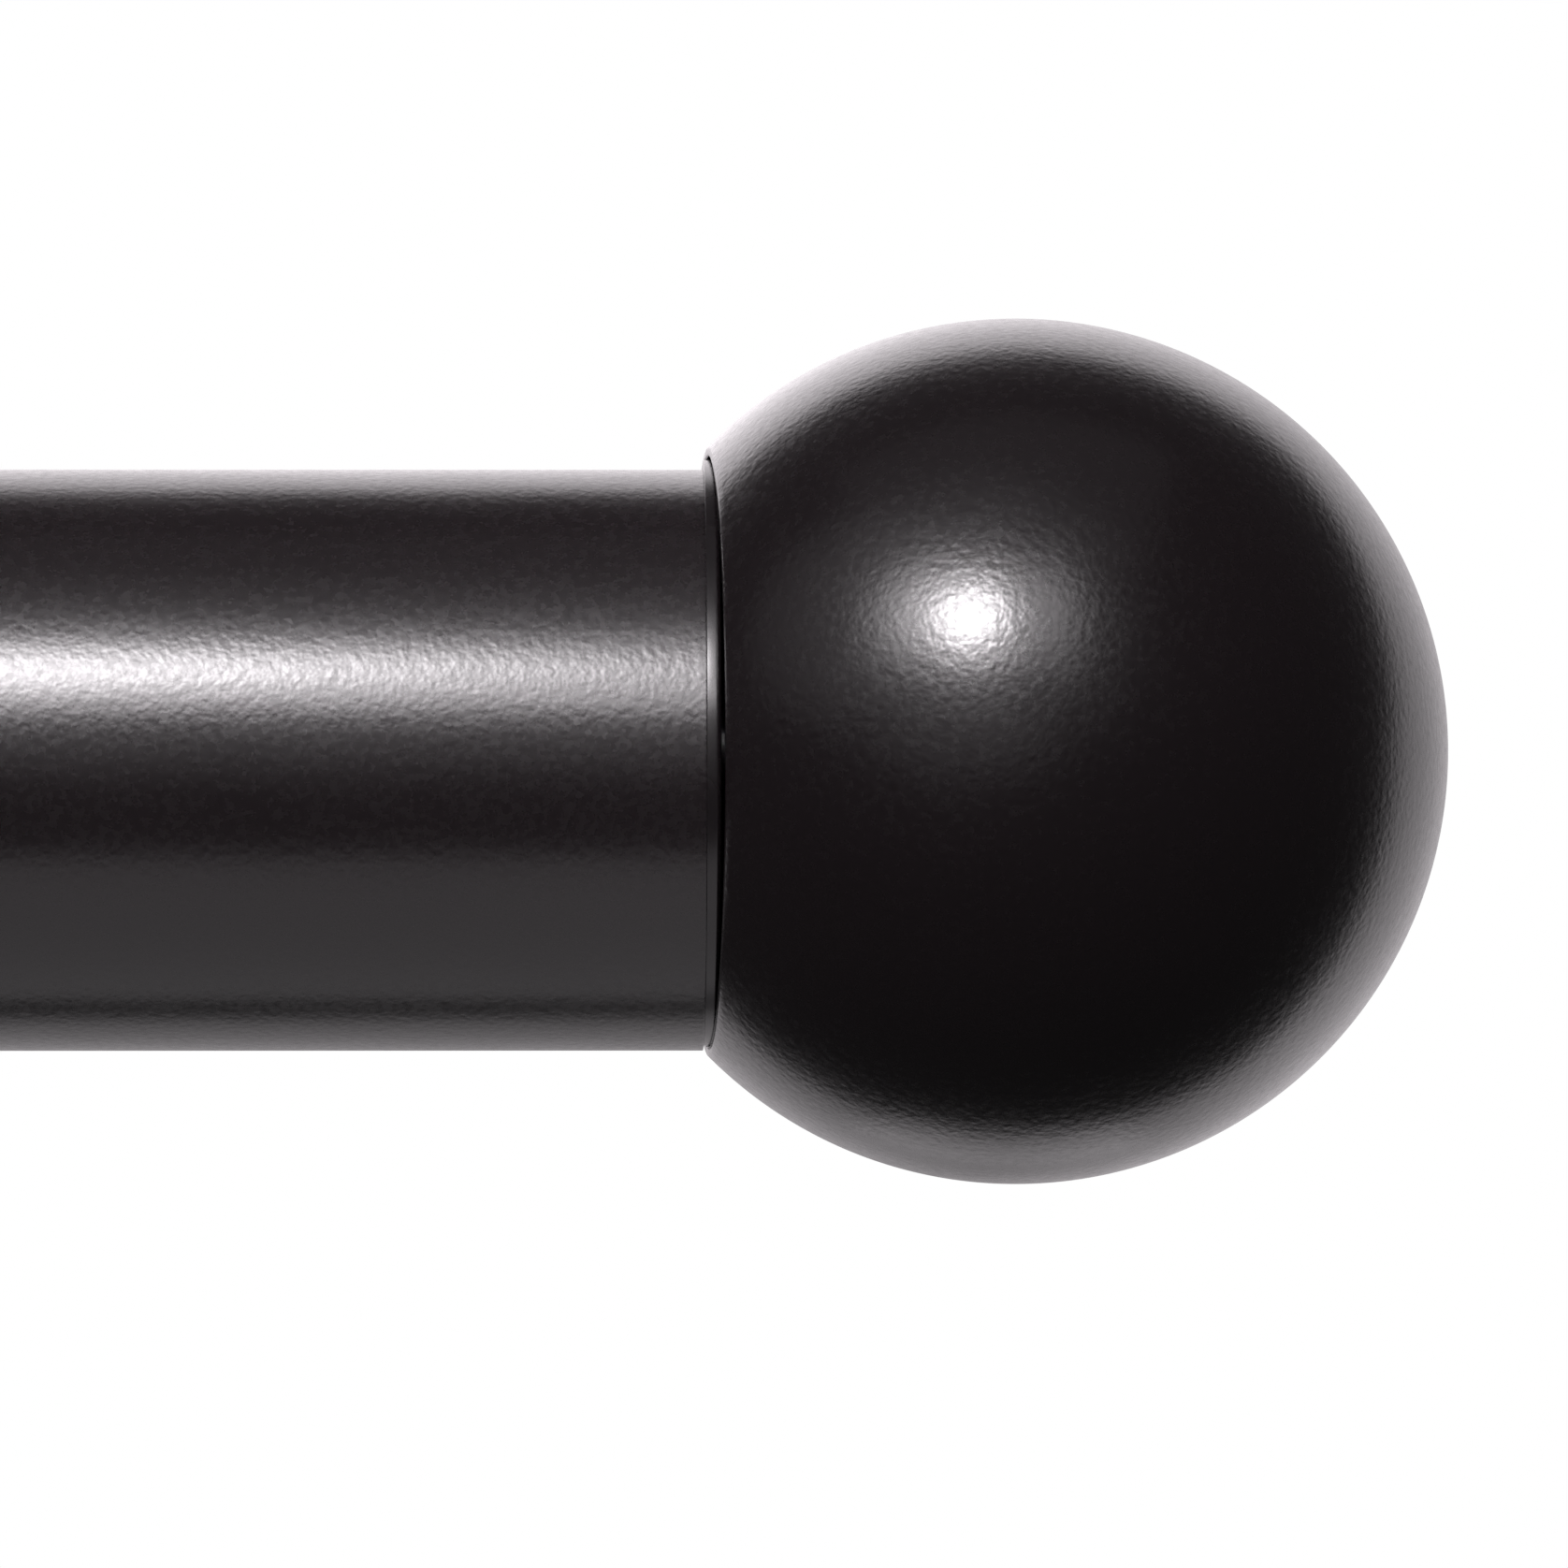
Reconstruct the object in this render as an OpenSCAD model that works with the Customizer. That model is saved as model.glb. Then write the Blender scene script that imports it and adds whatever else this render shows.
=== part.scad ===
// Telescoping curtain rod with ball finials, on two adjustable wall brackets.
// X runs along the rod, the wall is the plane y = 0, the room is at -Y, and Z is up.
// The origin is the middle of the right wall plate's back face.

/* [Rod] */
// Outside diameter of the outer tube
rod_d = 25.4; // [22:0.1:30]
// Wall thickness of the outer tube
rod_wall = 0.8; // [0.6:0.1:0.9]
// Outside diameter of the inner tube
inner_d = 22.2; // [22:0.1:22.2]
// Wall thickness of the inner tube
inner_wall = 0.7; // [0.5:0.1:0.9]
// Length over both tubes when the rod is pushed together
closed_length = 711.2; // [690:0.1:740]
// Length of the outer tube
outer_length = 640; // [620:1:640]
// Length of the inner tube
inner_length = 620; // [590:1:620]
// Distance from each bracket to the nearest tube end
end_inset = 56; // [45:1:60]

/* [Finials] */
// Diameter of the ball
ball_d = 37.9; // [37.5:0.1:40]
// Distance from the ball's centre to its rim
ball_back = 13.5; // [13.4:0.1:13.6]
// Wall thickness of the hollow ball
ball_wall = 2.2; // [1.5:0.1:3]
// Thickness of the plug's flange, which shows as a thin ring
flange_t = 0.5; // [0.4:0.05:0.5]
// Angle by which the right ball sits tipped on its plug
ball_tip = 2.5; // [0:0.1:2.5]
// Direction the tipped ball leans, from 80 for slightly up to 100 for slightly down, 90 being the wall
ball_lean = 90; // [80:1:100]
// How far the right ball sits above the rod's axis
ball_rise = 0.39; // [0.25:0.01:0.39]
// How far the right plug sits above the rod's axis
plug_rise = 0.25; // [0.2:0.01:0.25]
// Length of the plug inside the tube
plug_length = 20; // [12:1:24]

/* [Brackets] */
// Distance from the wall to the rod's axis with the arm pushed in
projection = 95; // [92:1:100]
// Width of the wall plate
plate_w = 24; // [20:1:30]
// Height of the wall plate
plate_h = 80; // [74:1:90]
// Thickness of the wall plate
plate_t = 2.5; // [2:0.1:4]
// Distance between the two screw holes
hole_spacing = 60; // [56:1:66]
// Diameter of the screw holes
hole_d = 5; // [4:0.1:6]
// Height of the rod's axis above the middle of the arm
rod_height = 9; // [8:0.5:10]
// Width of the cradle along the rod
cradle_w = 14; // [10:1:18]

/* [Hidden] */
SIDES = ["right", "left"];
BRACKET_PIECES = ["wall_plate", "arm_sleeve", "arm_nut", "arm_screw", "arm_bar", "cradle", "cradle_nut", "rod_screw"];
FINIAL_PIECES = ["finial_ball", "finial_plug", "finial_screw"];

$fn = 96;
eps = 0.01;
PAINT = [0.09, 0.085, 0.09];
DARK_PLASTIC = [0.13, 0.13, 0.14];
WHITE_PLASTIC = [0.85, 0.85, 0.83];
ZINC = [0.66, 0.67, 0.68];

// The tubes lie on one axis. Each tube's end is where its finial sits.
rod_r = rod_d / 2;
inner_r = inner_d / 2;
right_end = end_inset;
left_end = right_end - closed_length;
step_x = right_end - outer_length;
inner_mouth_x = left_end + inner_length;

// The step ring fills the gap between the two tubes and caps the outer tube's raw edge.
ring_gap = 0.1;
ring_fit = 0.05;
ring_sleeve = 40;
ring_lip = 3;
ring_lip_r = rod_r + 0.3;

// The guide bush is pressed into the inner tube and slides in the outer one.
bush_gap = 0.1;
bush_flange = 4;
bush_body = 12;
bush_bore_r = 7.5;
bush_fit = 0.05;

// Plug of the finial, with thin ribs that centre it loosely. Its flange sits in the ball's recess.
flange_r = rod_r + 0.1;
seat_gap = 0.03;
rim_gap = 0.2;
recess_r = 13.1;
recess_depth = 1;
plug_slack = 0.5;
rib_slack = 0.27;
rib_count = 6;
rib_w = 1.6;
plug_wall = 1.6;
plug_floor = 3;
plug_hole_r = 2.5;

// The screw that holds the ball to its plug.
finial_screw_r = 1.9;
finial_screw_hole_r = 1.95;
finial_screw_reach = 13;
finial_head_r = 3.8;
finial_head_h = 2.5;
finial_head_gap = 0.25;
post_r = 5;

// Arm: a bar that slides in a channel and is pinched by a screw through its slot.
sleeve_w = 9.2;
sleeve_h = 16.4;
sleeve_wall = 1.6;
sleeve_length = 62;
bar_w = 5.4;
bar_h = 12.6;
bar_rear = 6;
arm_travel = 40;
clamp_y = 56;
slot_r = 2.3;
slot_spare = 0.4;

// Machine screws and nuts. The thread is plain, with a running clearance in its nut.
m4_r = 2;
m4_nut_r = 2.07;
m4_clear_r = 2.2;
nut_flats = 7;
nut_h = 3.2;
head_r = 4;
head_h = 2.4;
head_gap = 0.1;
screw_past_nut = 1.2;

// Cradle: a strip bent to a U, open at the top so that the rod lifts out.
cradle_gap = 0.3;
cradle_t = 2.6;
cradle_r = rod_r + cradle_gap;
cradle_front = 8.5;
cradle_back = 12;
cradle_nut_r = 4.2;
cradle_nut_h = 4;
lock_height = 3;
tip_gap = 0.3;
lock_reach = 9;
knob_r = 5.5;
knob_h = 6.5;
knurl_depth = 0.35;
knurl_count = 30;

// The left bracket holds the thinner tube, so it is fixed higher by the difference in radius.
bracket_spacing = closed_length - 2 * end_inset;
left_raise = rod_r - inner_r;

// Places a bracket piece, drawn round the middle of its own wall plate's back.
module at_bracket(side) {
    if (side == "right") children();
    else translate([-bracket_spacing, 0, left_raise]) children();
}

// Places a piece drawn along +X from the rod's axis.
module on_rod_axis(x = 0) {
    translate([x, -projection, rod_height]) children();
}

// Places a piece drawn with the tube's end at 0 and the ball at +X.
module at_tube_end(side) {
    on_rod_axis(side == "right" ? right_end : left_end)
        rotate([0, 0, side == "right" ? 0 : 180]) children();
}

// Places the plug, drawn as at_tube_end does. The right plug sits a little high in the tube.
module at_plug(side) {
    at_tube_end(side) translate([0, 0, side == "right" ? plug_rise : 0]) children();
}

// Places the ball or its screw, drawn with the ball's rim at 0. The right ball is tipped.
module at_ball(side) {
    tipped = side == "right" ? 1 : 0;
    at_tube_end(side) translate([rim_gap, 0, ball_rise * tipped])
        rotate([-ball_lean, 0, 0]) rotate([0, -ball_tip * tipped, 0]) children();
}

// A cylinder along +X from x0 to x1.
module x_cylinder(r, x0, x1) {
    translate([x0, 0, 0]) rotate([0, 90, 0]) cylinder(r = r, h = x1 - x0);
}

// A cylinder towards the room, from the depth y0 to the depth y1 in front of the wall.
module y_cylinder(r, y0, y1) {
    translate([0, -y0, 0]) rotate([90, 0, 0]) cylinder(r = r, h = y1 - y0);
}

// Turns an outline drawn as [radius, distance] about the X axis.
module turned_along_x() {
    rotate([0, 90, 0]) rotate_extrude() children();
}

// ---- rod ----

module tube(r, wall, x0, x1) {
    difference() {
        x_cylinder(r, x0, x1);
        x_cylinder(r - wall, x0 - eps, x1 + eps);
    }
}

module outer_tube() {
    color(PAINT) on_rod_axis() tube(rod_r, rod_wall, step_x, right_end);
}

module inner_tube() {
    color(PAINT) on_rod_axis() tube(inner_r, inner_wall, left_end, inner_mouth_x);
}

module step_ring() {
    bore = inner_r + ring_gap;
    sleeve = rod_r - rod_wall - ring_fit;
    color(DARK_PLASTIC) on_rod_axis(step_x) turned_along_x()
        polygon([
            [bore, -ring_lip], [ring_lip_r - 1.2, -ring_lip], [ring_lip_r - 0.35, -ring_lip + 0.5],
            [ring_lip_r, -ring_lip + 1.4], [ring_lip_r, 0], [sleeve, 0], [sleeve, ring_sleeve], [bore, ring_sleeve]
        ]);
}

module guide_bush() {
    body = inner_r - inner_wall - bush_fit;
    flange = rod_r - rod_wall - bush_gap;
    color(WHITE_PLASTIC) on_rod_axis(inner_mouth_x) turned_along_x()
        polygon([
            [bush_bore_r, -bush_body], [body - 0.8, -bush_body], [body, -bush_body + 1.5], [body, 0],
            [flange, 0], [flange, bush_flange - 0.8], [flange - 0.8, bush_flange], [bush_bore_r, bush_flange]
        ]);
}

// ---- finials ----

module finial_ball() {
    r = ball_d / 2;
    inside = r - ball_wall;
    color(PAINT) turned_along_x() difference() {
        intersection() {
            translate([0, ball_back]) circle(r = r, $fn = 72);
            polygon([
                [0, 0], [recess_r + 0.17, 0], [recess_r + 0.4, 0.08],
                [sqrt(r * r - pow(ball_back - 0.25, 2)), 0.25], [2 * r, 0.25], [2 * r, 2 * r], [0, 2 * r]
            ]);
        }
        polygon([
            [-1, -1], [recess_r + 0.12, -1], [recess_r + 0.12, 0], [recess_r, 0.4], [recess_r, recess_depth],
            [-1, recess_depth]
        ]);
        difference() {
            translate([0, ball_back]) circle(r = inside, $fn = 36);
            translate([-1, 0]) square([1 + post_r, ball_back + r]);
            square([2 * r, recess_depth + ball_wall]);
        }
        translate([-1, -1]) square([1 + finial_screw_hole_r, 1 + finial_screw_reach + 1]);
    }
}

// The radius of the hole in the tube that a finial's plug goes into.
function tube_bore_r(side) = side == "right" ? rod_r - rod_wall : inner_r - inner_wall;

module finial_plug(side) {
    bore = tube_bore_r(side);
    body = bore - plug_slack;
    front = seat_gap + flange_t;
    color(DARK_PLASTIC) difference() {
        union() {
            turned_along_x() polygon([
                [0, -plug_length], [body - 0.6, -plug_length], [body, -plug_length + 1.2], [body, seat_gap],
                [flange_r - 0.1, seat_gap], [flange_r, seat_gap + 0.1], [flange_r, front - 0.15],
                [flange_r - 0.15, front], [0, front]
            ]);
            for (i = [0:rib_count - 1]) rotate([i * 360 / rib_count, 0, 0])
                translate([-plug_length + 2, body - 1, -rib_w / 2])
                    cube([plug_length - 2, 1 + plug_slack - rib_slack, rib_w]);
        }
        x_cylinder(body - plug_wall, -plug_length - eps, -plug_floor);
        x_cylinder(plug_hole_r, -plug_floor - eps, front + eps);
    }
}

// Drawn from the ball's rim, so its head stops just short of the plug's floor.
module finial_screw() {
    seat = -rim_gap - plug_floor - finial_head_gap;
    color(ZINC) difference() {
        union() {
            x_cylinder(finial_head_r, seat - finial_head_h, seat);
            x_cylinder(finial_screw_r, seat - eps, finial_screw_reach);
        }
        cross_recess(seat - finial_head_h, 1);
    }
}

// A cross recess in a screw head whose face is at x, cut towards the given direction.
module cross_recess(x, direction) {
    depth = 1.4;
    for (turn = [0, 90]) rotate([turn, 0, 0])
        translate([x + direction * depth / 2 - direction * eps, 0, 0]) cube([depth, 4.2, 1], center = true);
}

// ---- brackets ----

// An upright bar with round ends and a chamfered front, its back on the wall.
module wall_plate() {
    r = plate_w / 2;
    middle = plate_h / 2 - r;
    chamfer = 0.7;
    color(PAINT) difference() {
        union() {
            for (end = [-1, 1]) translate([0, 0, end * middle]) {
                y_cylinder(r, 0, plate_t - chamfer);
                translate([0, -plate_t + chamfer, 0]) rotate([90, 0, 0])
                    cylinder(r1 = r, r2 = r - chamfer, h = chamfer);
            }
            translate([0, 0, -middle]) linear_extrude(2 * middle) polygon([
                [-r, 0], [r, 0], [r, chamfer - plate_t], [r - chamfer, -plate_t],
                [chamfer - r, -plate_t], [-r, chamfer - plate_t]
            ]);
        }
        for (end = [-1, 1]) translate([0, 0, end * hole_spacing / 2]) {
            y_cylinder(hole_d / 2, -eps, plate_t + eps);
            translate([0, -plate_t + 1, 0]) rotate([90, 0, 0])
                cylinder(r1 = hole_d / 2, r2 = hole_d / 2 + 1.2, h = 1 + eps);
        }
    }
}

// A channel open underneath, welded to the plate, with the clamp screw's holes near its mouth.
module arm_sleeve() {
    inside_w = sleeve_w - 2 * sleeve_wall;
    color(PAINT) difference() {
        translate([-sleeve_w / 2, -sleeve_length, -sleeve_h / 2])
            cube([sleeve_w, sleeve_length - plate_t, sleeve_h]);
        translate([-inside_w / 2, -sleeve_length - 1, -sleeve_h / 2 - 1])
            cube([inside_w, sleeve_length - plate_t + 2, sleeve_h + 1 - sleeve_wall]);
        translate([0, -clamp_y, 0]) x_cylinder(m4_clear_r, -sleeve_w, sleeve_w);
    }
}

// A flat bar with a long slot, cut to the cradle's curve at its front end.
module arm_bar() {
    front = projection - 6;
    slot_front = clamp_y + slot_spare;
    slot_rear = slot_front - arm_travel - 2 * slot_spare;
    color(PAINT) difference() {
        translate([-bar_w / 2, -front, -bar_h / 2]) cube([bar_w, front - bar_rear, bar_h]);
        on_rod_axis() x_cylinder(cradle_r + cradle_t, -cradle_w, cradle_w);
        for (y = [slot_front, slot_rear]) translate([0, -y, 0]) x_cylinder(slot_r, -bar_w, bar_w);
        translate([-bar_w, -slot_front, -slot_r]) cube([2 * bar_w, slot_front - slot_rear, 2 * slot_r]);
    }
}

// The cradle's outline, with the rod's axis at 0: a half ring and two upright lips with round tips.
module cradle_outline() {
    outside = cradle_r + cradle_t;
    difference() {
        union() {
            circle(r = outside);
            for (lip = [[-outside, cradle_front], [cradle_r, cradle_back]]) {
                translate([lip[0], 0]) square([cradle_t, lip[1] - cradle_t / 2]);
                translate([lip[0] + cradle_t / 2, lip[1] - cradle_t / 2]) circle(d = cradle_t);
            }
        }
        circle(r = cradle_r);
        translate([-cradle_r, 0]) square([2 * cradle_r, outside + 1]);
    }
}

module cradle() {
    color(PAINT) on_rod_axis() difference() {
        rotate([90, 0, 90]) translate([0, 0, -cradle_w / 2]) linear_extrude(cradle_w) cradle_outline();
        translate([0, 0, lock_height]) y_cylinder(m4_clear_r, cradle_r - 1, cradle_r + cradle_t + 1);
    }
}

// A round press nut on the front of the cradle.
module cradle_nut() {
    base = cradle_r + cradle_t;
    color(PAINT) on_rod_axis() translate([0, 0, lock_height]) difference() {
        union() {
            y_cylinder(cradle_nut_r, base, base + cradle_nut_h - 0.5);
            translate([0, -base - cradle_nut_h + 0.5, 0]) rotate([90, 0, 0])
                cylinder(r1 = cradle_nut_r, r2 = cradle_nut_r - 0.5, h = 0.5);
        }
        y_cylinder(m4_nut_r, base - 1, base + cradle_nut_h + 1);
    }
}

// A knurled thumb screw that locks the rod in the cradle.
module rod_screw(side) {
    held_r = side == "right" ? rod_r : inner_r;
    tip = held_r + tip_gap;
    base = tip + lock_reach;
    color(PAINT) on_rod_axis() translate([0, 0, lock_height]) union() {
        y_cylinder(m4_r, tip, base + eps);
        translate([0, -base, 0]) rotate([90, 0, 0]) knurled_knob();
    }
}

module knurled_knob() {
    chamfer = 0.6;
    difference() {
        intersection() {
            linear_extrude(knob_h) polygon([
                for (i = [0:2 * knurl_count - 1])
                    (knob_r - (i % 2) * knurl_depth) * [cos(180 * i / knurl_count), sin(180 * i / knurl_count)]
            ]);
            union() {
                cylinder(r1 = knob_r - chamfer, r2 = knob_r, h = chamfer);
                translate([0, 0, chamfer]) cylinder(r = knob_r + eps, h = knob_h - 2 * chamfer);
                translate([0, 0, knob_h - chamfer]) cylinder(r1 = knob_r, r2 = knob_r - chamfer, h = chamfer);
            }
        }
        translate([0, 0, knob_h]) cube([2 * knob_r + 1, 1.1, 2.4], center = true);
    }
}

// The screw that pinches the sleeve on the bar, with its head at +X and its nut at -X.
module arm_screw() {
    face = sleeve_w / 2 + head_gap;
    dome_r = 9;
    color(ZINC) translate([0, -clamp_y, 0]) difference() {
        union() {
            intersection() {
                x_cylinder(head_r, face, face + head_h);
                translate([face + head_h - dome_r, 0, 0]) sphere(r = dome_r);
            }
            x_cylinder(m4_r, -sleeve_w / 2 - nut_h - screw_past_nut, face + eps);
        }
        cross_recess(face + head_h, -1);
    }
}

module arm_nut() {
    color(ZINC) translate([-sleeve_w / 2, -clamp_y, 0]) rotate([0, -90, 0]) difference() {
        cylinder(d = nut_flats / cos(30), h = nut_h, $fn = 6);
        translate([0, 0, -eps]) cylinder(r = m4_nut_r, h = nut_h + 1);
    }
}

outer_tube();
inner_tube();
step_ring();
guide_bush();
for (side = SIDES) {
    at_bracket(side) wall_plate();
    at_bracket(side) arm_sleeve();
    at_bracket(side) arm_nut();
    at_bracket(side) arm_screw();
    at_bracket(side) arm_bar();
    at_bracket(side) cradle();
    at_bracket(side) cradle_nut();
    at_bracket(side) rod_screw(side);
    at_ball(side) finial_ball();
    at_plug(side) finial_plug(side);
    at_ball(side) finial_screw();
}
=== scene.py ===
"""Looks of the telescoping curtain rod: satin black powder coat, soft studio light, white ground.

Lengths are in millimetres where a value is multiplied by MM, and in metres elsewhere.
"""

import math

import bmesh
import bpy
from mathutils import Matrix, Vector

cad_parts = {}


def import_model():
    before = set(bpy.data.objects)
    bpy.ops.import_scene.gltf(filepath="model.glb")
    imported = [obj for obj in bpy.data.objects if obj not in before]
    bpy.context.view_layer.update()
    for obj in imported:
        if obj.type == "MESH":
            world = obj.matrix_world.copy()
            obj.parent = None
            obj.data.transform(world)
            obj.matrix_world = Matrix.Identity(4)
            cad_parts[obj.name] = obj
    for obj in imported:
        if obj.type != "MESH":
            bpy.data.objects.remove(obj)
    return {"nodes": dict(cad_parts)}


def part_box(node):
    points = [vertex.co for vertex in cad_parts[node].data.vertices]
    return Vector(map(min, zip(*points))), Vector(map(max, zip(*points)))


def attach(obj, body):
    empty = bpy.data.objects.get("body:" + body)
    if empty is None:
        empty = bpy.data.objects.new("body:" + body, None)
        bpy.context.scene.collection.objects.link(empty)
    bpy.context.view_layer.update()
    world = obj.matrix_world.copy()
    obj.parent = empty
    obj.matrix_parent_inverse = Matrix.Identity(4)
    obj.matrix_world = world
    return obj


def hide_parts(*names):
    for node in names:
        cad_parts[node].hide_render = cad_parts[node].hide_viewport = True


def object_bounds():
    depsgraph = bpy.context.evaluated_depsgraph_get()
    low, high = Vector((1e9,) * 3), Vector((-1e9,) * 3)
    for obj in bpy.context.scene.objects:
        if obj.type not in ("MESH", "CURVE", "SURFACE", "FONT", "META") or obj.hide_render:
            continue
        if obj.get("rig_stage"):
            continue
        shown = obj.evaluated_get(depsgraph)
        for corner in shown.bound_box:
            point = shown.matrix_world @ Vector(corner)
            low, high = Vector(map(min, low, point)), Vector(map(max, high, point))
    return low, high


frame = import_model()
NODES = frame["nodes"]
CAD_LO, CAD_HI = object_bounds()
MM = 0.001
SIDES = ("right", "left")

# ---------------------------------------------------------------- helpers


def new_object(name, mesh, body, material):
    """An object in the scene with its material, riding its body."""
    obj = bpy.data.objects.new(name, mesh)
    bpy.context.scene.collection.objects.link(obj)
    obj.data.materials.append(material)
    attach(obj, body)
    return obj


def turned(name, profile, segments, matrix, closed=True):
    """A mesh of profile points (x, r) in metres turned about the local X axis, then placed by matrix."""
    verts, faces = [], []
    count = len(profile)
    for i in range(segments):
        a = 2 * math.pi * i / segments
        for x, r in profile:
            verts.append(matrix @ Vector((x, r * math.cos(a), r * math.sin(a))))
    last = count if closed else count - 1
    for i in range(segments):
        j = (i + 1) % segments
        for k in range(last):
            m = (k + 1) % count
            faces.append((i * count + k, i * count + m, j * count + m, j * count + k))
    mesh = bpy.data.meshes.new(name)
    mesh.from_pydata(verts, [], faces)
    bm = bmesh.new()
    bm.from_mesh(mesh)
    bmesh.ops.remove_doubles(bm, verts=bm.verts, dist=1e-7)
    bmesh.ops.recalc_face_normals(bm, faces=bm.faces)
    for f in bm.faces:
        f.smooth = True
    bm.to_mesh(mesh)
    bm.free()
    return mesh


def sharp_edges(obj, degrees):
    """Marks creases so that smooth shading stops at them."""
    mesh = obj.data
    bm = bmesh.new()
    bm.from_mesh(mesh)
    for e in bm.edges:
        if len(e.link_faces) == 2:
            e.smooth = e.calc_face_angle(0) < math.radians(degrees)
    bm.to_mesh(mesh)
    bm.free()


# ---------------------------------------------------------------- materials


class Nodes:
    """Small builder for the node tree of a material or a world."""

    def __init__(self, owner):
        self.owner = owner
        owner.use_nodes = True
        self.tree = owner.node_tree
        self.tree.nodes.clear()

    def add(self, kind, **values):
        node = self.tree.nodes.new(kind)
        for key, value in values.items():
            setattr(node, key, value)
        return node

    def link(self, a, b):
        self.tree.links.new(a, b)

    def noise(self, coords, scale, detail, rough):
        n = self.add("ShaderNodeTexNoise")
        n.inputs["Scale"].default_value = scale
        n.inputs["Detail"].default_value = detail
        n.inputs["Roughness"].default_value = rough
        self.link(coords, n.inputs["Vector"])
        return n.outputs["Fac"]

    def span(self, value, low, high, to_low, to_high, curve="LINEAR"):
        """Maps low..high to to_low..to_high, clamped."""
        n = self.add("ShaderNodeMapRange", interpolation_type=curve)
        n.inputs["From Min"].default_value = low
        n.inputs["From Max"].default_value = high
        n.inputs["To Min"].default_value = to_low
        n.inputs["To Max"].default_value = to_high
        self.link(value, n.inputs["Value"])
        return n.outputs["Result"]

    def math(self, op, a, b=0.0):
        n = self.add("ShaderNodeMath", operation=op)
        for i, v in enumerate((a, b)):
            if isinstance(v, (int, float)):
                n.inputs[i].default_value = v
            else:
                self.link(v, n.inputs[i])
        return n.outputs[0]

    def mix(self, fac, a, b):
        n = self.add("ShaderNodeMix", data_type="RGBA")
        self.link(fac, n.inputs[0])
        for i, v in ((6, a), (7, b)):
            if isinstance(v, tuple):
                n.inputs[i].default_value = (*v, 1)
            else:
                self.link(v, n.inputs[i])
        return n.outputs[2]

    def bump(self, height, distance):
        n = self.add("ShaderNodeBump")
        n.inputs["Strength"].default_value = 1.0
        n.inputs["Distance"].default_value = distance
        self.link(height, n.inputs["Height"])
        return n.outputs["Normal"]

    def blend(self, fac, a, b):
        n = self.add("ShaderNodeMixShader")
        self.link(fac, n.inputs[0])
        self.link(a, n.inputs[1])
        self.link(b, n.inputs[2])
        return n.outputs[0]


def scaled(colour, factor):
    return tuple(c * factor for c in colour)


def principled(name):
    """A new material's nodes, its Principled shader joined to the output, and object coordinates."""
    n = Nodes(bpy.data.materials.new(name))
    out = n.add("ShaderNodeOutputMaterial")
    bsdf = n.add("ShaderNodeBsdfPrincipled")
    n.link(bsdf.outputs[0], out.inputs["Surface"])
    return n, bsdf, n.add("ShaderNodeTexCoord").outputs["Object"]


COAT_IOR = 1.5
NIB_SCALE = 260.0
NIB_COLOUR = (0.32, 0.31, 0.31)
NIB_SHOW = 0.35
SCRATCH_COLOUR = (0.09, 0.085, 0.085)
SCRATCH_SHOW = 0.25
SCRATCH_TURN = 0.35
SCRATCH_STRETCH = (40.0, 2600.0, 2600.0)
GRAIN_ROUGH = 0.09


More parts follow.
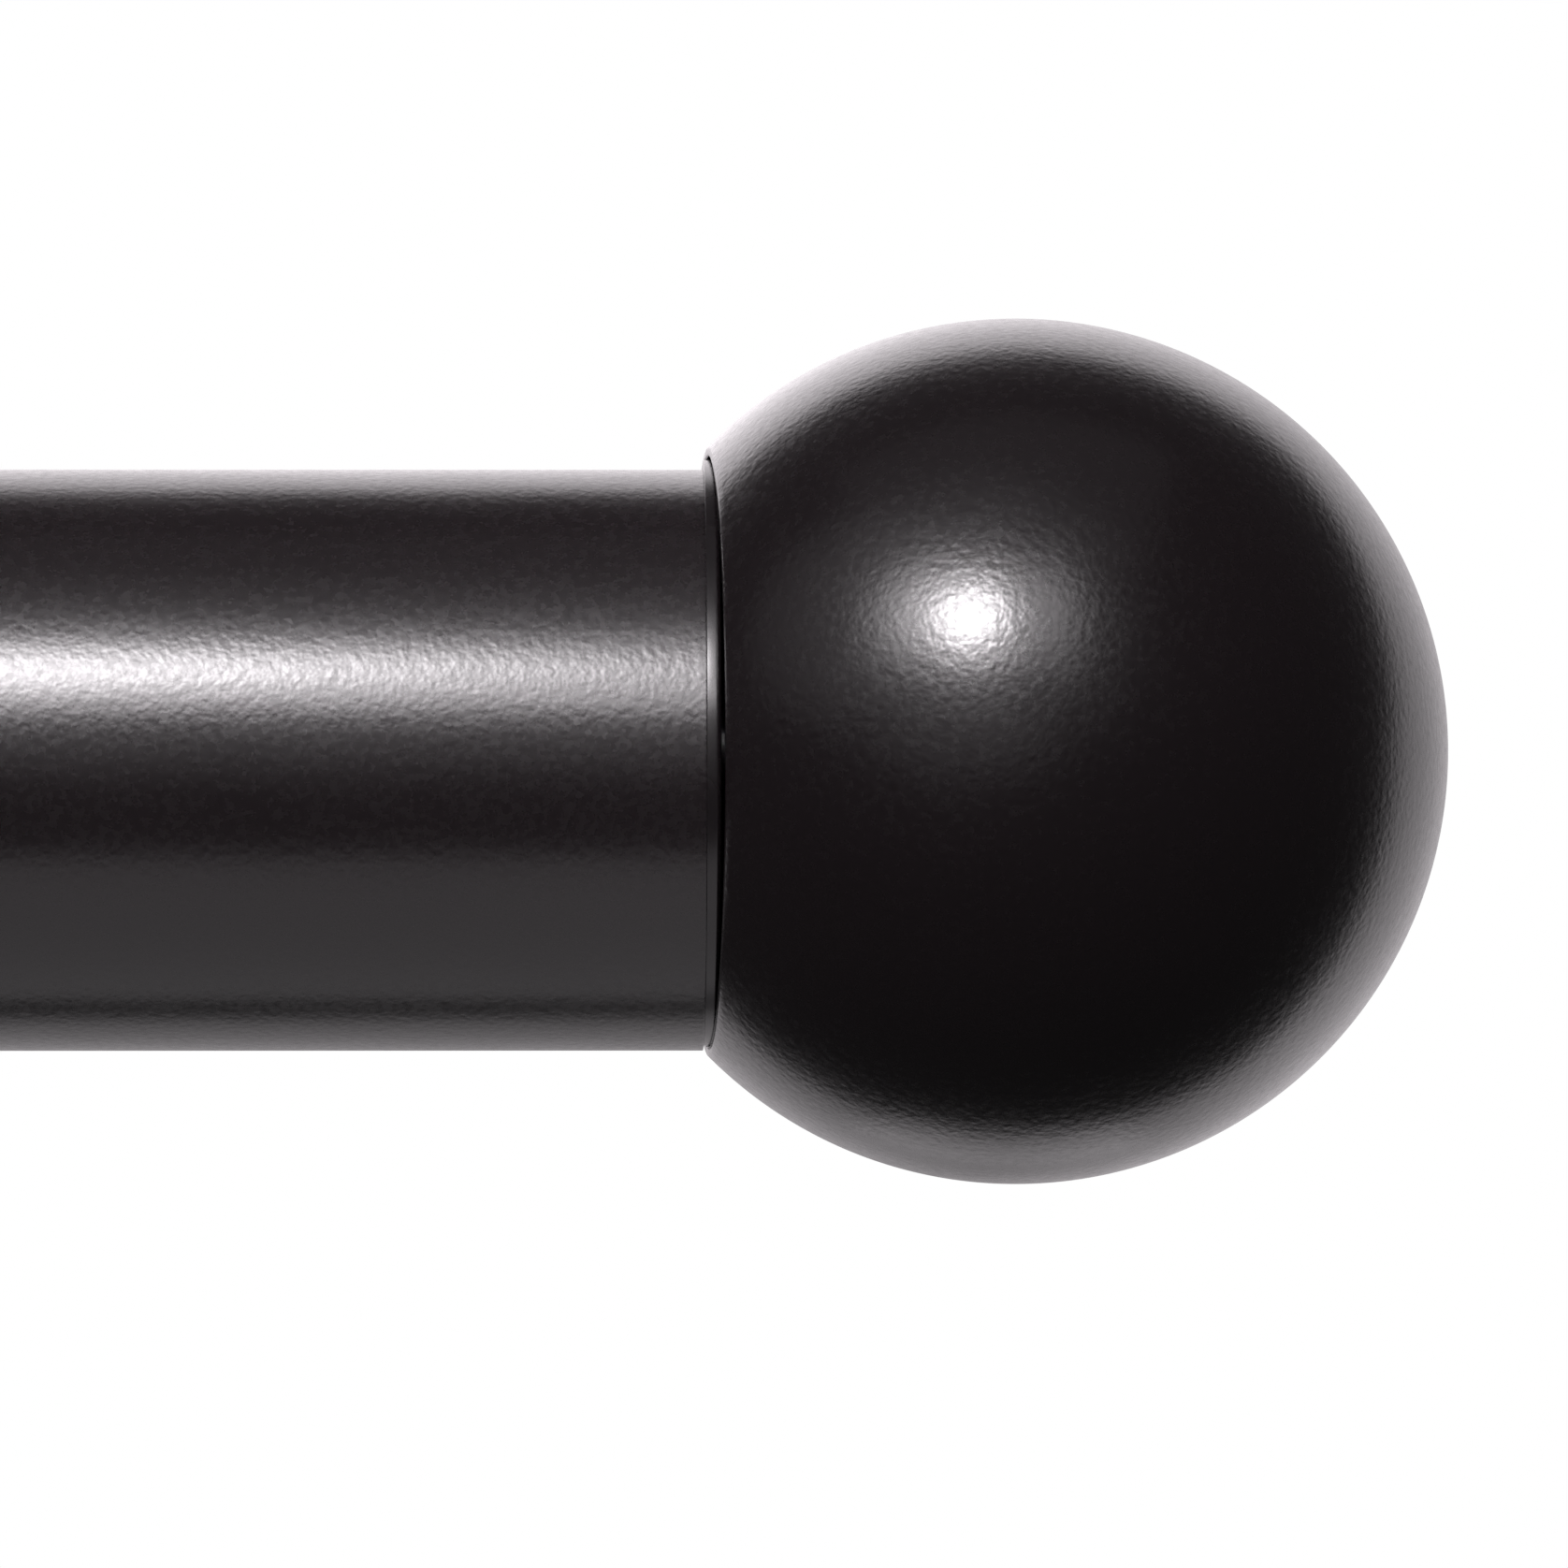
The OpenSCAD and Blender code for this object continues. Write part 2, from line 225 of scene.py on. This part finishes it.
def powder_coat(name, base, rough, gloss, peel, peel_scale, nibs, scratches):
    """Satin powder coat: fine grain, slight roughness drift, a few pale nibs and fine scratches.

    rough and gloss are the roughness of the paint and of its surface, peel the grain's height in metres,
    peel_scale its fineness, nibs the share of cells with a nib, and scratches their added roughness.
    """
    n, bsdf, coords = principled(name)
    fine = n.noise(coords, peel_scale, 1.0, 0.5)
    grain = n.noise(coords, peel_scale * 0.9, 2.0, 0.6)
    broad = n.noise(coords, peel_scale / 5, 2.0, 0.5)
    drift = n.noise(coords, 60.0, 3.0, 0.6)
    height = n.math("ADD", fine, n.math("MULTIPLY", broad, 0.15))
    normal = n.bump(height, peel)
    roughness = n.span(drift, 0.3, 0.7, rough - 0.02, rough + 0.025)
    roughness = n.math("ADD", roughness, n.span(grain, 0.3, 0.7, -GRAIN_ROUGH, GRAIN_ROUGH))
    colour = n.mix(n.span(drift, 0.25, 0.75, 0.0, 1.0), scaled(base, 0.9), scaled(base, 1.1))
    # nibs: a dot in the middle of a few cells
    cells = n.add("ShaderNodeTexVoronoi")
    cells.inputs["Scale"].default_value = NIB_SCALE
    n.link(coords, cells.inputs["Vector"])
    dot = n.span(cells.outputs["Distance"], 0.010, 0.030, 1.0, 0.0)
    rare = n.add("ShaderNodeSeparateColor")
    n.link(cells.outputs["Color"], rare.inputs[0])
    dot = n.math("MULTIPLY", dot, n.math("GREATER_THAN", rare.outputs[0], 1.0 - nibs))
    colour = n.mix(n.math("MULTIPLY", dot, NIB_SHOW), colour, NIB_COLOUR)
    if scratches:
        along = n.add("ShaderNodeMapping")
        along.inputs["Scale"].default_value = SCRATCH_STRETCH
        along.inputs["Rotation"].default_value = (0.0, 0.0, SCRATCH_TURN)
        n.link(coords, along.inputs["Vector"])
        streak = n.noise(along.outputs["Vector"], 1.0, 1.0, 0.4)
        streak = n.span(streak, 0.735, 0.77, 0.0, 1.0)
        patch = n.span(n.noise(coords, 90.0, 1.0, 0.5), 0.56, 0.66, 0.0, 1.0)
        streak = n.math("MULTIPLY", streak, patch)
        roughness = n.math("ADD", roughness, n.math("MULTIPLY", streak, scratches))
        colour = n.mix(n.math("MULTIPLY", streak, SCRATCH_SHOW), colour, SCRATCH_COLOUR)
    n.link(colour, bsdf.inputs["Base Color"])
    n.link(roughness, bsdf.inputs["Roughness"])
    n.link(normal, bsdf.inputs["Normal"])
    bsdf.inputs["IOR"].default_value = COAT_IOR
    bsdf.inputs["Coat Weight"].default_value = 1.0
    bsdf.inputs["Coat IOR"].default_value = COAT_IOR
    bsdf.inputs["Coat Roughness"].default_value = gloss
    n.link(normal, bsdf.inputs["Coat Normal"])
    return n.owner


def moulded(name, base, rough, grain=0.00001, polish=0.0):
    """Moulded plastic with a faint spark-eroded grain, and a polished skin where polish is given."""
    n, bsdf, coords = principled(name)
    fine = n.noise(coords, 5200.0, 3.0, 0.6)
    drift = n.noise(coords, 220.0, 3.0, 0.6)
    colour = n.mix(n.span(drift, 0.3, 0.7, 0.0, 1.0), scaled(base, 0.92), base)
    n.link(colour, bsdf.inputs["Base Color"])
    n.link(n.span(drift, 0.3, 0.7, rough - 0.05, rough + 0.05), bsdf.inputs["Roughness"])
    n.link(n.bump(fine, grain), bsdf.inputs["Normal"])
    bsdf.inputs["Coat Weight"].default_value = polish
    bsdf.inputs["Coat Roughness"].default_value = 0.25
    return n.owner


def zinc(name):
    """Clear zinc plate on steel: faint crystalline mottling and a fine grain."""
    n, bsdf, coords = principled(name)
    fine = n.noise(coords, 3500.0, 3.0, 0.6)
    drift = n.noise(coords, 400.0, 3.0, 0.6)
    colour = n.mix(n.span(drift, 0.3, 0.7, 0.0, 1.0), (0.48, 0.49, 0.50), (0.66, 0.67, 0.68))
    n.link(colour, bsdf.inputs["Base Color"])
    n.link(n.span(drift, 0.3, 0.7, 0.24, 0.42), bsdf.inputs["Roughness"])
    n.link(n.bump(fine, 0.000006), bsdf.inputs["Normal"])
    bsdf.inputs["Metallic"].default_value = 1.0
    return n.owner


BASE = (0.0072, 0.0050, 0.0058)
PEEL = 0.000013
ROD_PAINT = powder_coat("rod_paint", BASE, 0.25, 0.25, PEEL, 2900.0, 0.005, 0.12)
BALL_PAINT = powder_coat("ball_paint", BASE, 0.23, 0.23, PEEL * 1.15, 2900.0, 0.005, 0.0)
BRACKET_PAINT = powder_coat("bracket_paint", BASE, 0.26, 0.26, PEEL * 1.2, 2600.0, 0.004, 0.08)
NYLON = moulded("black_nylon", (0.012, 0.010, 0.0105), 0.3)
PLUG_NYLON = moulded("plug_nylon", (0.008, 0.006, 0.0068), 0.25, 0.000004, 1.0)
ACETAL = moulded("white_acetal", (0.78, 0.77, 0.73), 0.4)
ZINC = zinc("zinc_plate")

# ---------------------------------------------------------------- rod and finials

TUBE = {"right": "outer_tube", "left": "inner_tube"}
TUBE_WALL = {"right": 0.8, "left": 0.7}
TUBE_BORE_R = {"right": 11.9, "left": 10.4}
# The ball has a flat back, BALL_BACK from its middle, with a shallow recess for the plug's flange
BALL_D = 37.9
BALL_BACK = 13.5
BALL_RECESS_R, BALL_RECESS_DEPTH = 12.92, 1.0
BALL_SCREW_R, BALL_SCREW_END = 1.95, 14.0
# The back is RIM_GAP off the tube's end. The right ball is high and tipped, by degrees, and its plug high
RIM_GAP = 0.2
BALL_RISE, BALL_TIP, PLUG_RISE = 0.39, 2.5, 0.32
# The plug's body is PLUG_SLACK smaller in radius than the bore that it's in
PLUG_LENGTH, PLUG_SLACK, PLUG_WALL = 20.0, 0.5, 1.6
PLUG_FLOOR, PLUG_HOLE_R, PLUG_NOSE = 3.0, 2.5, (1.2, 0.6)
FLANGE_R, FLANGE_FRONT = 12.8, 0.62
FLANGE_SEAT = {"right": 0.0, "left": 0.03}
FLANGE_ROUND, FLANGE_EDGE = 0.25, 0.02
RIB_COUNT, RIB_W, RIB_H, RIB_ROOT = 6, 1.6, 1.23, 1.0

tube_lo, tube_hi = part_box("outer_tube")
AXIS_Y = (tube_lo.y + tube_hi.y) / 2
AXIS_Z = (tube_lo.z + tube_hi.z) / 2
BALL = Vector((tube_hi.x + (RIM_GAP + BALL_BACK) * MM, AXIS_Y, AXIS_Z + BALL_RISE * MM))


def tube_end(side):
    """The frame at the middle of a tube's outer end, its X axis towards the ball."""
    lo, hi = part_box(TUBE[side])
    if side == "right":
        return Matrix.Translation((hi.x, AXIS_Y, AXIS_Z))
    return Matrix.Translation((lo.x, AXIS_Y, AXIS_Z)) @ Matrix.Rotation(math.pi, 4, "Z")


def tube(side, body):
    """A smooth tube with small chamfers at its ends."""
    node = TUBE[side]
    lo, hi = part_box(node)
    r = (hi.z - lo.z) / 2
    length = hi.x - lo.x
    inner = r - TUBE_WALL[side] * MM
    chamfer, support, near, steps = 0.00002, 0.00005, 0.0004, 40
    ends = [(0.0, r - chamfer), (chamfer * 0.3, r - chamfer * 0.3), (chamfer, r), (chamfer + support, r)]
    out = [(near + (length - 2 * near) * i / steps, r) for i in range(steps + 1)]
    far = [(length - x, v) for x, v in reversed(ends)]
    profile = ends + out + far + [(length, inner), (0, inner)]
    mesh = turned(node + "_skin", profile, 256, Matrix.Translation((lo.x, AXIS_Y, AXIS_Z)))
    obj = new_object(node + "_skin", mesh, body, ROD_PAINT)
    sharp_edges(obj, 50)
    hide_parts(node)


def ball(side):
    """The ball as a smooth turned shell, seated as the CAD ball is."""
    r = BALL_D / 2
    lip_r = math.sqrt(r * r - BALL_BACK * BALL_BACK)
    # the screw's hole and the recess
    profile = [(BALL_SCREW_END, 0.0), (BALL_SCREW_END, BALL_SCREW_R)]
    profile += [(BALL_RECESS_DEPTH, BALL_SCREW_R), (BALL_RECESS_DEPTH, BALL_RECESS_R)]
    # the flat lip, a little eased at both edges, and the sphere
    profile += [(0.06, BALL_RECESS_R), (0.0, BALL_RECESS_R + 0.04)]
    profile += [(0.0, lip_r - 0.06), (0.02, lip_r - 0.01), (0.04, lip_r + 0.035)]
    start = math.acos((BALL_BACK - 0.05) / r)
    steps = 150
    for i in range(steps + 1):
        a = start + (math.pi - start) * i / steps
        profile.append((BALL_BACK - r * math.cos(a), r * math.sin(a)))
    profile = [(x * MM, max(0.0, v) * MM) for x, v in profile]
    rise = BALL_RISE if side == "right" else 0.0
    place = Matrix.Translation((RIM_GAP * MM, 0, rise * MM))
    if side == "right":
        place = place @ Matrix.Rotation(math.radians(BALL_TIP), 4, "Z")
    mesh = turned(side + "_ball_skin", profile, 288, tube_end(side) @ place, closed=False)
    obj = new_object(side + "_ball_skin", mesh, side + "_finial", BALL_PAINT)
    sharp_edges(obj, 30)
    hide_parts(side + "_finial_ball")


def plug(side):
    """The plug with its rounded flange and its ribs."""
    body_r = TUBE_BORE_R[side] - PLUG_SLACK
    seat = FLANGE_SEAT[side]
    profile = [(-PLUG_FLOOR, PLUG_HOLE_R), (FLANGE_FRONT, PLUG_HOLE_R), (FLANGE_FRONT, FLANGE_R - 0.6)]
    # the flange's rim, rounder on the ball's side: the radius, its middle, the side, and where it starts
    roundings = (
        (FLANGE_ROUND, FLANGE_FRONT - FLANGE_ROUND, 1, 1),
        (FLANGE_EDGE, seat + FLANGE_EDGE, -1, 0),
    )
    for radius, x, sign, start in roundings:
        for i in range(9):
            a = math.pi / 2 * abs(start - i / 8)
            profile.append((x + sign * radius * math.sin(a), FLANGE_R - radius + radius * math.cos(a)))
    profile += [(seat, FLANGE_R - 0.3), (seat, body_r)]
    profile += [(-PLUG_LENGTH + PLUG_NOSE[0], body_r), (-PLUG_LENGTH, body_r - PLUG_NOSE[1])]
    profile += [(-PLUG_LENGTH, body_r - PLUG_WALL), (-PLUG_FLOOR, body_r - PLUG_WALL)]
    place = tube_end(side)
    if side == "right":
        place = place @ Matrix.Translation((0, 0, PLUG_RISE * MM))
    mesh = turned(side + "_plug_skin", [(x * MM, v * MM) for x, v in profile], 256, place)
    bm = bmesh.new()
    bm.from_mesh(mesh)
    rib_length = (PLUG_LENGTH - 2) * MM
    size = Matrix.Diagonal((rib_length, RIB_H * MM, RIB_W * MM, 1))
    shift = Matrix.Translation((-rib_length / 2, (body_r - RIB_ROOT + RIB_H / 2) * MM, 0))
    for i in range(RIB_COUNT):
        turn = Matrix.Rotation(2 * math.pi * i / RIB_COUNT, 4, "X")
        bmesh.ops.create_cube(bm, size=1.0, matrix=place @ turn @ shift @ size)
    bm.to_mesh(mesh)
    bm.free()
    obj = new_object(side + "_plug_skin", mesh, side + "_finial", PLUG_NYLON)
    sharp_edges(obj, 40)
    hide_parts(side + "_finial_plug")


tube("right", "outer_rod")
tube("left", "inner_rod")
for side_name in SIDES:
    ball(side_name)
    plug(side_name)

# ---------------------------------------------------------------- CAD nodes that are shown

NODE_MATERIAL = {
    "arm_nut": ZINC,
    "arm_screw": ZINC,
    "finial_screw": ZINC,
    "step_ring": NYLON,
    "guide_bush": ACETAL,
}
BEVEL = {"wall_plate": 0.35, "arm_sleeve": 0.25, "arm_bar": 0.3, "cradle": 0.35}


def dress(node, obj):
    """A CAD node's material and softened edges."""
    obj.data.materials.clear()
    material = next((m for k, m in NODE_MATERIAL.items() if node.endswith(k)), BRACKET_PAINT)
    obj.data.materials.append(material)
    weld = obj.modifiers.new("weld", "WELD")
    weld.merge_threshold = 1e-6
    for key, width in BEVEL.items():
        if node.endswith(key):
            # joins each flat side's triangles, so that the bevel can't fold thin ones over
            flat = obj.modifiers.new("flat", "DECIMATE")
            flat.decimate_type = "DISSOLVE"
            flat.angle_limit = math.radians(0.5)
            bevel = obj.modifiers.new("bevel", "BEVEL")
            bevel.width = width * MM
            bevel.segments = 3
            bevel.limit_method = "ANGLE"
            bevel.angle_limit = math.radians(40)
    for p in obj.data.polygons:
        p.use_smooth = False


for name, node_obj in NODES.items():
    if not node_obj.hide_render:
        dress(name, node_obj)

# ---------------------------------------------------------------- stage, light and camera

FLOOR_DROP = 0.09
FLOOR_HALF = 2.6
FLOOR_MIDDLE = (-0.30, -0.1)
FLOOR_FADE = (0.30, 0.95)


def floor():
    """A pale floor that fades into the white ground away from the rod's middle."""
    z = CAD_LO.z - FLOOR_DROP
    r = FLOOR_HALF
    mesh = bpy.data.meshes.new("floor")
    mesh.from_pydata([(-r, -r, z), (r, -r, z), (r, r, z), (-r, r, z)], [], [(0, 1, 2, 3)])
    obj = bpy.data.objects.new("floor", mesh)
    bpy.context.scene.collection.objects.link(obj)
    n = Nodes(bpy.data.materials.new("floor_paper"))
    out = n.add("ShaderNodeOutputMaterial")
    coords = n.add("ShaderNodeTexCoord").outputs["Object"]
    mottle = n.span(n.noise(coords, 60.0, 3.0, 0.6), 0.3, 0.7, 0.0, 1.0)
    paper = n.add("ShaderNodeBsdfDiffuse")
    n.link(n.mix(mottle, (0.78, 0.78, 0.78), (0.80, 0.80, 0.80)), paper.inputs["Color"])
    white = n.add("ShaderNodeEmission")
    white.inputs["Strength"].default_value = 1.0
    white.inputs["Color"].default_value = (1, 1, 1, 1)
    shift = n.add("ShaderNodeVectorMath", operation="SUBTRACT")
    shift.inputs[1].default_value = (*FLOOR_MIDDLE, z)
    n.link(coords, shift.inputs[0])
    away = n.add("ShaderNodeVectorMath", operation="LENGTH")
    n.link(shift.outputs[0], away.inputs[0])
    fade = n.span(away.outputs["Value"], *FLOOR_FADE, 0.0, 1.0, curve="SMOOTHSTEP")
    n.link(n.blend(fade, paper.outputs[0], white.outputs[0]), out.inputs["Surface"])
    mesh.materials.append(n.owner)
    obj.visible_glossy = False
    obj.visible_diffuse = False
    obj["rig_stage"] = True
    return obj


FLOOR = floor()


def area(name, towards, distance, size, power, target, lit):
    """A soft box at distance from target along towards, facing it, that lights only the lit objects."""
    light = bpy.data.lights.new(name, "AREA")
    light.shape = "RECTANGLE"
    light.size, light.size_y = size
    light.energy = power
    obj = bpy.data.objects.new(name, light)
    bpy.context.scene.collection.objects.link(obj)
    d = towards.normalized()
    obj.location = target + d * distance
    obj.rotation_mode = "QUATERNION"
    obj.rotation_quaternion = d.to_track_quat("Z", "Y")
    obj.visible_camera = False
    group = bpy.data.collections.new(name + "_receivers")
    for o in lit:
        group.objects.link(o)
    obj.light_linking.receiver_collection = group
    return obj


def direction(azimuth, elevation):
    """From the object towards the light: azimuth 0 is the camera's side (-Y), positive towards +X."""
    a, e = math.radians(azimuth), math.radians(elevation)
    return Vector((math.sin(a) * math.cos(e), -math.cos(a) * math.cos(e), math.sin(e)))


BODY_OBJECTS = [o for o in bpy.context.scene.objects if o.type == "MESH" and not o.get("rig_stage")]
BALLS = [o for o in BODY_OBJECTS if "ball" in o.name]
NOT_BALLS = [o for o in BODY_OBJECTS if "ball" not in o.name]
TUBES = [o for o in BODY_OBJECTS if "tube" in o.name or "plug" in o.name]
OUTER = [o for o in TUBES if "outer" in o.name]
AT_END = ("outer_tube", "right_ball", "right_plug", "right_finial")
REST = [o for o in BODY_OBJECTS if not any(k in o.name for k in AT_END)]

# The paper behind the object, every 45 degrees from -X by way of -Z: its level, and how many degrees its
# edge is from +Y
PAPER = (
    (0.6, 48), (0.53, 50), (0.31, 56.5), (0.64, 58),
    (0.52, 62), (0.69, 46.5), (1.1, 46.5), (1.5, 49), (0.6, 48),
)
PAPER_SOFT = 5.5
AMBIENT = 0.034
AMBIENT_TINT = (1.0, 0.93, 0.965)
PAPER_TINT = (1.0, 0.945, 0.98)


def world():
    """White where the camera looks past the object; elsewhere dim, with bright paper behind the object."""
    n = Nodes(bpy.data.worlds.new("studio"))
    bpy.context.scene.world = n.owner
    out = n.add("ShaderNodeOutputWorld")
    xyz = n.add("ShaderNodeSeparateXYZ")
    n.link(n.add("ShaderNodeTexCoord").outputs["Generated"], xyz.inputs[0])
    x, y, z = xyz.outputs
    from_y = n.math("MULTIPLY", n.math("ARCCOSINE", y), 1 / math.pi)
    turn = n.math("ADD", n.math("MULTIPLY", n.math("ARCTAN2", z, x), 0.5 / math.pi), 0.5)
    ramp = n.add("ShaderNodeValToRGB")
    ramp.color_ramp.interpolation = "LINEAR"
    stops = ramp.color_ramp.elements
    for k in range(1, len(PAPER) - 1):
        stops.new(k / (len(PAPER) - 1))
    # a stop holds half the level, and the edge's angle as a share of 180 degrees
    for stop, (level, edge) in zip(stops, PAPER):
        stop.color = (level / 2, edge / 180, 0, 1)
    n.link(turn, ramp.inputs[0])
    split = n.add("ShaderNodeSeparateColor")
    n.link(ramp.outputs[0], split.inputs[0])
    soft = PAPER_SOFT / 180
    inside = n.span(n.math("SUBTRACT", split.outputs[1], from_y), -soft, soft, 0.0, 1.0, curve="SMOOTHSTEP")
    paper_level = n.math("MULTIPLY", n.math("MULTIPLY", split.outputs[0], 2.0), inside)
    lit = n.add("ShaderNodeBackground")
    n.link(n.math("ADD", paper_level, AMBIENT), lit.inputs["Strength"])
    n.link(n.mix(n.math("MULTIPLY", paper_level, 4.0), AMBIENT_TINT, PAPER_TINT), lit.inputs["Color"])
    white = n.add("ShaderNodeBackground")
    white.inputs["Color"].default_value = (1, 1, 1, 1)
    white.inputs["Strength"].default_value = 1.0
    seen = n.add("ShaderNodeLightPath").outputs["Is Camera Ray"]
    n.link(n.blend(seen, lit.outputs[0], white.outputs[0]), out.inputs["Surface"])


world()

# The lamp over the ball fades from its middle outwards. Its middle is brighter for the balls than for the
# rest, and the nested discs round it are (width in degrees, radiance).
KEY_DISTANCE = 0.3
KEY_AZ, KEY_EL = -15.2, 34.1
KEY_TINT = (1.0, 0.96, 0.99)
CORE = 11.5
FADE = ((16, 13.0), (24, 3.4), (33, 1.3), (44, 0.5), (56, 0.22), (72, 0.12), (88, 0.05))
# azimuth, elevation, width and height in degrees, radiance
NEIGHBOURS = (
    (-30.5, 35.0, 11, 11, 1.6),
    (-31.0, 35.0, 18, 18, 1.4),
    (-32.0, 34.5, 28, 28, 0.8),
    (7.0, 35.0, 24, 36, 0.3),
    (8.5, 35.5, 14, 28, 0.45),
    (10.0, 36.0, 7, 20, 0.7),
    (-54.0, 32.0, 36, 36, 0.16),
    (-54.0, 32.0, 52, 52, 0.12),
    (-14.0, 3.0, 44, 16, 0.07),
)
KEY = [(KEY_AZ, KEY_EL, CORE, CORE, 31.0, BALLS), (KEY_AZ, KEY_EL, CORE, CORE, 20.0, NOT_BALLS)]
KEY += [(KEY_AZ, KEY_EL, width, width, radiance, BODY_OBJECTS) for width, radiance in FADE]
KEY += [(*row, BODY_OBJECTS) for row in NEIGHBOURS]
for k, (az, el, wide, high, radiance, lit) in enumerate(KEY):
    w, h = (2 * KEY_DISTANCE * math.tan(math.radians(v / 2)) for v in (wide, high))
    power = math.pi * (w * h * math.pi / 4) * radiance
    lamp = area(f"key_{k}", direction(az, el), KEY_DISTANCE, (w, h), power, BALL, lit)
    lamp.data.shape = "ELLIPSE"
    lamp.data.color = KEY_TINT

MIDDLE = Vector(((CAD_LO.x + CAD_HI.x) / 2, AXIS_Y, AXIS_Z))
NEAR_END = BALL - Vector((0.045, 0.0, 0.0))
FAR_PART = BALL - Vector((0.72, 0.0, 0.0))
SOFT_TINT = (1.0, 0.95, 0.985)
# Soft boxes: name, direction, distance, size, radiance, aimed at, lit objects. The room, sweep and along
# rows are there for the views from elsewhere than the front.
SOFT = (
    ("overhead", direction(0, 76), 0.7, (0.9, 0.6), 0.065, NEAR_END, BODY_OBJECTS),
    ("rod_fill", direction(-4, -74), 0.8, (1.2, 1.15), 0.37, NEAR_END, TUBES),
    ("rod_key", direction(-5.5, 33.5), 0.3, (0.13, 0.07), 2.0, NEAR_END, TUBES),
    ("rod_strip", direction(0, 23), 0.3, (0.24, 0.03), 3.9, NEAR_END, TUBES),
    ("ball_under", direction(180, -48), 0.6, (0.3, 0.22), 0.25, BALL, BALLS),
    ("long_front", direction(0, 40), 0.5, (0.96, 0.18), 4.0, FAR_PART, REST + OUTER),
    ("room_front", direction(-30, 42), 1.1, (1.3, 0.8), 1.6, MIDDLE, REST),
    ("room_right", direction(62, 24), 1.1, (0.5, 0.8), 1.5, MIDDLE, REST),
    ("room_back", direction(155, 38), 1.1, (1.2, 0.7), 1.1, MIDDLE, REST),
    ("room_left", direction(-115, 20), 1.1, (0.5, 0.8), 0.8, MIDDLE, REST),
    ("room_under", direction(0, -75), 0.9, (1.1, 0.6), 0.5, MIDDLE, REST),
    ("sweep_front_left", direction(-45, -22), 1.1, (0.9, 0.6), 1.2, MIDDLE, REST),
    ("sweep_front_right", direction(45, -22), 1.1, (0.9, 0.6), 1.2, MIDDLE, REST),
    ("sweep_back_left", direction(-135, -18), 1.1, (0.9, 0.6), 1.0, MIDDLE, REST),
    ("sweep_back_right", direction(135, -18), 1.1, (0.9, 0.6), 1.0, MIDDLE, REST),
    ("along_front_left", direction(-58, 38), 1.4, (0.5, 0.4), 7.0, MIDDLE, OUTER),
    ("along_front_right", direction(62, 38), 1.8, (0.6, 0.5), 7.0, MIDDLE, OUTER),
    ("along_back_left", direction(-125, 36), 1.4, (0.5, 0.4), 6.0, MIDDLE, OUTER),
    ("along_back_right", direction(125, 36), 1.8, (0.6, 0.5), 6.0, MIDDLE, OUTER),
    ("along_under_left", direction(-90, -40), 1.4, (0.5, 0.9), 1.2, MIDDLE, OUTER),
    ("along_under_right", direction(90, -40), 1.8, (0.5, 0.9), 1.2, MIDDLE, OUTER),
)
for name, towards, distance, size, radiance, aim, lit in SOFT:
    power = math.pi * size[0] * size[1] * radiance
    lamp = area(name, towards, distance, size, power, aim, lit)
    lamp.data.color = SOFT_TINT
area("floor_light", direction(20.0, 62.0), 1.6, (1.2, 1.2), 60.0, Vector((*FLOOR_MIDDLE, 0.0)), [FLOOR])

scene = bpy.context.scene
scene.view_settings.view_transform = "Standard"
scene.view_settings.look = "None"
scene.view_settings.exposure = 0.0
scene.view_settings.gamma = 1.0

# A long lens. WIDTH is what the frame shows at the rod. Its middle is AIM_LEFT of the ball's middle and
# AIM_DOWN below the rod's axis.
LENS = 300.0
SENSOR = 36.0
AZIMUTH = -1.2
WIDTH = 68.6 * MM
AIM_LEFT, AIM_DOWN = 10.15 * MM, 1.04 * MM
cam_data = bpy.data.cameras.new("camera")
cam_data.lens = LENS
cam_data.sensor_width = SENSOR
cam = bpy.data.objects.new("camera", cam_data)
scene.collection.objects.link(cam)
scene.camera = cam
target = Vector((BALL.x - AIM_LEFT, AXIS_Y, AXIS_Z - AIM_DOWN))
towards = direction(AZIMUTH, 0.0)
cam.location = target + towards * (WIDTH * LENS / SENSOR)
cam.rotation_mode = "QUATERNION"
cam.rotation_quaternion = towards.to_track_quat("Z", "Y")
cam_data.clip_start, cam_data.clip_end = 0.01, 50.0
